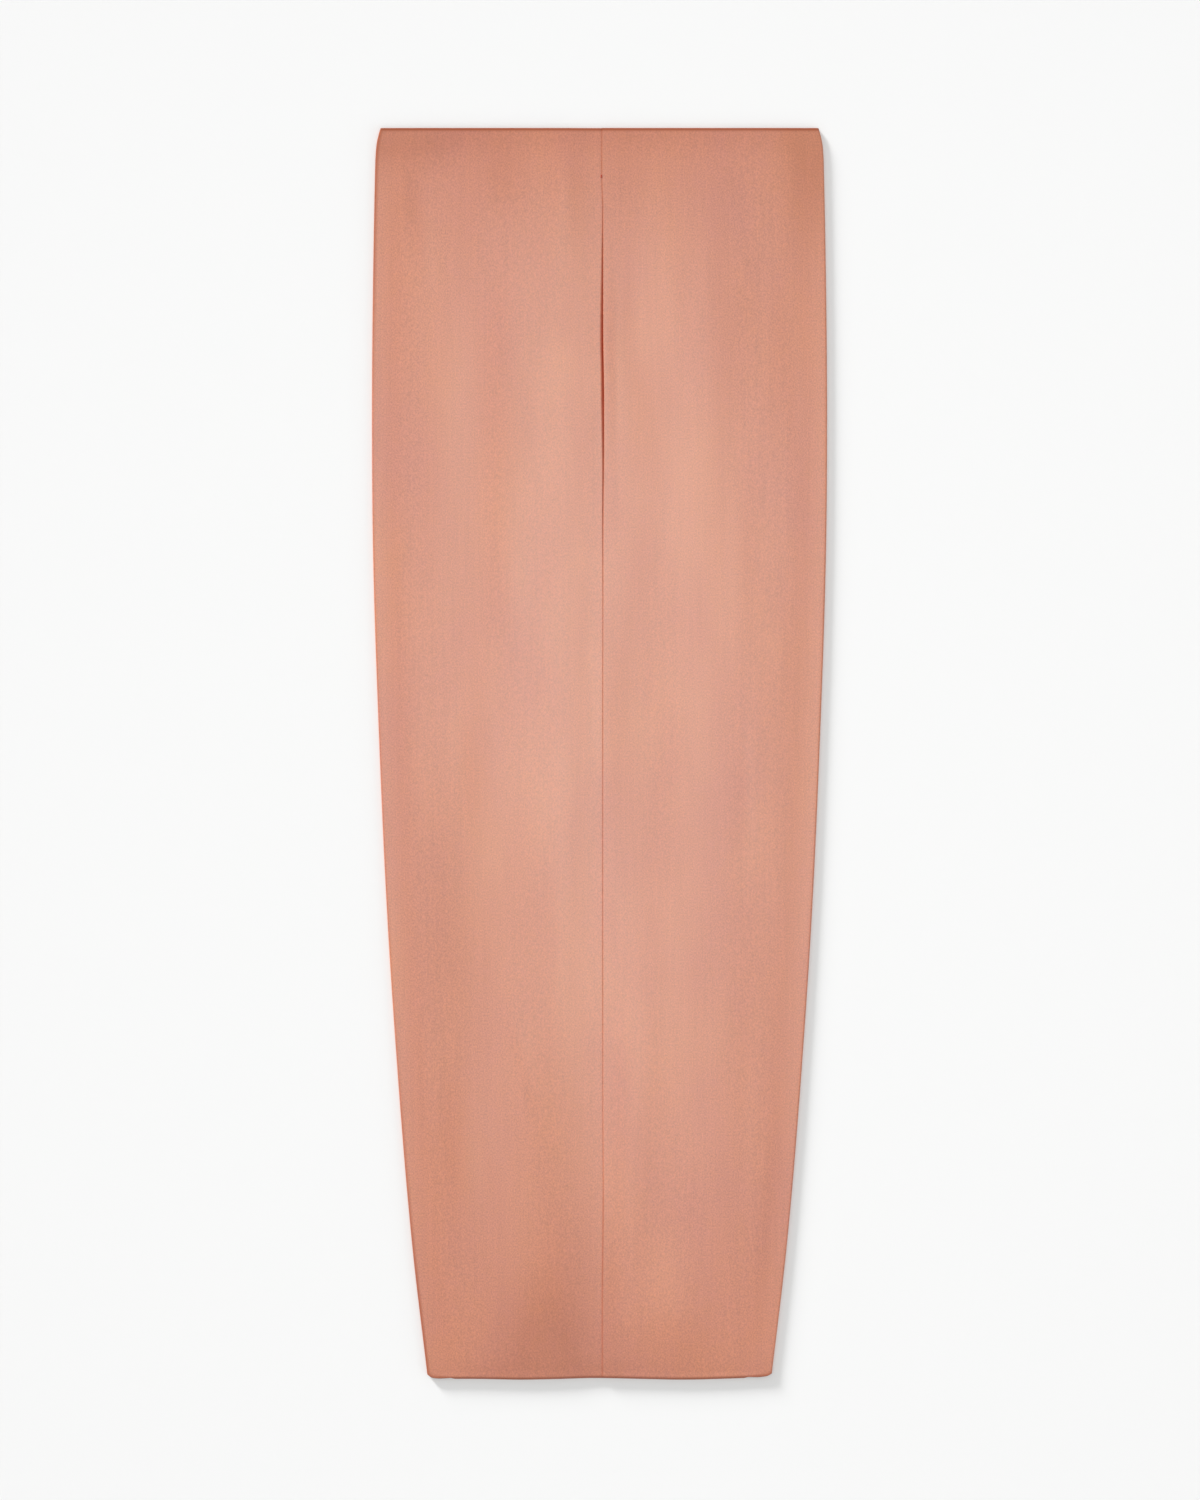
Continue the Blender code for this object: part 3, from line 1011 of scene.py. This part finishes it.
# %% Thread finish
THREAD_DARK = (0.26, 0.035, 0.018, 1.0)
THREAD_LIGHT = (0.40, 0.070, 0.040, 1.0)
TWIST = Pattern((9000.0, 3000.0, 3000.0), 1.0)
TWIST_BUMP = 0.4
TWIST_DEPTH = 0.00005
THREAD_ROUGHNESS = 0.6
THREAD_ROUGHER = 0.1

twine = Finish("thread", Metallic=0.0, Specular_IOR_Level=0.3)
twist = twine.noise(twine.place(), TWIST)
thread.materials.append(
    twine.surface(
        Base_Color=twine.mix(twist, THREAD_DARK, THREAD_LIGHT),
        Roughness=THREAD_ROUGHNESS + THREAD_ROUGHER * twist,
        Normal=twine.bump(twist, TWIST_BUMP, TWIST_DEPTH),
    )
)
print("thread:", len(twine.tree.nodes), "nodes")

# %% [markdown]
# ## Floor
# A pale sheet of paper, a hair below the cloth so that the two never share a surface. It is
# stage, so it isn't part of the skirt.

# %% Floor
FLOOR_SIZE = 12.0
FLOOR_DROP = 0.0001
PAPER_WHITE = (0.80, 0.80, 0.806, 1.0)
PAPER_ROUGHNESS = 0.95

bpy.ops.mesh.primitive_plane_add(size=FLOOR_SIZE, location=(0.0, 0.0, -FLOOR_DROP))
floor = bpy.context.object
floor.name = "floor"
paper = Finish("paper", Base_Color=PAPER_WHITE, Roughness=PAPER_ROUGHNESS)
floor.data.materials.append(paper.material)
print(f"floor {FLOOR_SIZE:.0f} m wide")

# %% [markdown]
# ## Light
# A garment shot flat is lit softly from above and harder from low at one side. The key, from the
# upper left, models the folds and drops a short shadow to the lower right, and a faint fill comes
# from across. A low sun's gloss would draw a white dashed line along each turned edge. So these
# two light the surface alone, and a third sun, softer and higher, gives the sheen that shows from
# the side. A long strip overhead gives the pale glare down the middle. A sun's strength is given
# as the share of full white that it gives the floor, or would give it if it lit more than gloss,
# so its height can be changed without spoiling the rest.

# %% Low suns
LowSun = namedtuple("LowSun", "name stands_at elevation on_floor softness lights_gloss")
UPPER_LEFT = Vector((-0.62, 0.785, 0.0)).normalized()
LOWER_RIGHT = Vector((0.90, -0.44, 0.0)).normalized()
LOW_SUNS = (
    LowSun("key", UPPER_LEFT, math.radians(10.4), 0.34, math.radians(11), False),
    LowSun("fill", LOWER_RIGHT, math.radians(9), 0.05, math.radians(40), False),
    LowSun("sheen", UPPER_LEFT, math.radians(18), 0.09, math.radians(40), True),
)


def add_light(name, kind, energy):
    light = bpy.data.lights.new(name, kind)
    light.energy = energy
    lamp = bpy.data.objects.new(name, light)
    bpy.context.scene.collection.objects.link(lamp)
    return lamp


for low in LOW_SUNS:
    sun = add_light(low.name, "SUN", low.on_floor * math.pi / math.sin(low.elevation))
    sun.data.angle = low.softness
    sun.visible_glossy = low.lights_gloss
    sun.visible_diffuse = not low.lights_gloss
    direction = low.stands_at * math.cos(low.elevation) + Vector((0, 0, math.sin(low.elevation)))
    sun.rotation_mode = "QUATERNION"
    sun.rotation_quaternion = direction.to_track_quat("Z", "Y")
print(len(LOW_SUNS), "low suns")

# %% Strip light and sky
STRIP_SIZE = (0.25, 1.71)
STRIP_PLACE = (0.0, 0.105, 3.2)
STRIP_TURN = math.radians(4)
STRIP_RADIANCE = 15.5
STRIP_COLOUR = (0.975, 0.985, 0.915)
SKY_COLOUR = (1.0, 1.0, 1.0, 1.0)
SKY_STRENGTH = 0.61

strip_area = STRIP_SIZE[0] * STRIP_SIZE[1]
strip = add_light("strip", "AREA", STRIP_RADIANCE * math.pi * strip_area)
strip.data.color = STRIP_COLOUR
strip.data.shape = "RECTANGLE"
strip.data.size, strip.data.size_y = STRIP_SIZE
strip.location = STRIP_PLACE
strip.rotation_euler.z = STRIP_TURN

world = bpy.data.worlds.new("studio")
world.use_nodes = True
world.node_tree.nodes["Background"].inputs["Color"].default_value = SKY_COLOUR
world.node_tree.nodes["Background"].inputs["Strength"].default_value = SKY_STRENGTH
bpy.context.scene.world = world
bpy.context.scene.view_settings.view_transform = "Standard"
print(f"strip light of {strip_area:.2f} square metres")

# %% [markdown]
# ## Camera
# The camera looks straight down. The skirt's length in the photo and its real length give the
# scale, and with the lens that gives the distance. The skirt isn't quite in the middle of the
# frame, so the camera moves aside by as much, which is simpler than shifting the lens.

# %% Camera
FRAME_PIXELS = 1500
SKIRT_PIXELS = 1252.2
PHOTO_MIDDLE = Vector((600.0, 750.0))
PHOTO_MIDDLE_OF_SKIRT = Vector((599.5, 754.1))
METRES_A_PIXEL = LENGTH / SKIRT_PIXELS
LENS = 85.0
SENSOR = 36.0

camera_data = bpy.data.cameras.new("camera")
camera_data.lens = LENS
camera_data.sensor_width = SENSOR
camera = bpy.data.objects.new("camera", camera_data)
off = (PHOTO_MIDDLE - PHOTO_MIDDLE_OF_SKIRT) * METRES_A_PIXEL
distance = FRAME_PIXELS * METRES_A_PIXEL * LENS / SENSOR
camera.location = (off.x, -off.y, distance + 2 * FOLD_RADIUS)
bpy.context.scene.collection.objects.link(camera)
bpy.context.scene.camera = camera
print(f"camera {distance:.3f} m above the cloth")

# %% [markdown]
# ## Attach the pieces
# Each shell stands for a wall of the construction model, and that wall is hidden. The table gives
# the size of each shell's flat cut, so that a reader could cut it out of real cloth, and what it
# rests on. The tack is sewn to the over front and goes with it.

Cut = namedtuple("Cut", "piece node width length area rests_on")
CUTS = (
    Cut(over_front, "front_over", 0.196, 1.029, 0.187, ["under_front_cloth", "back_cloth"]),
    Cut(under_front, "front_under", 0.302, 1.029, 0.297, ["back_cloth"]),
    Cut(back, "back", 0.358, 1.030, 0.344, ["floor"]),
)
for cut in CUTS:
    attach(cut.piece, "root")
    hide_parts(cut.node)
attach(bar_tack, "root")
print(f"cut from {sum(cut.area for cut in CUTS):.2f} square metres of cloth")
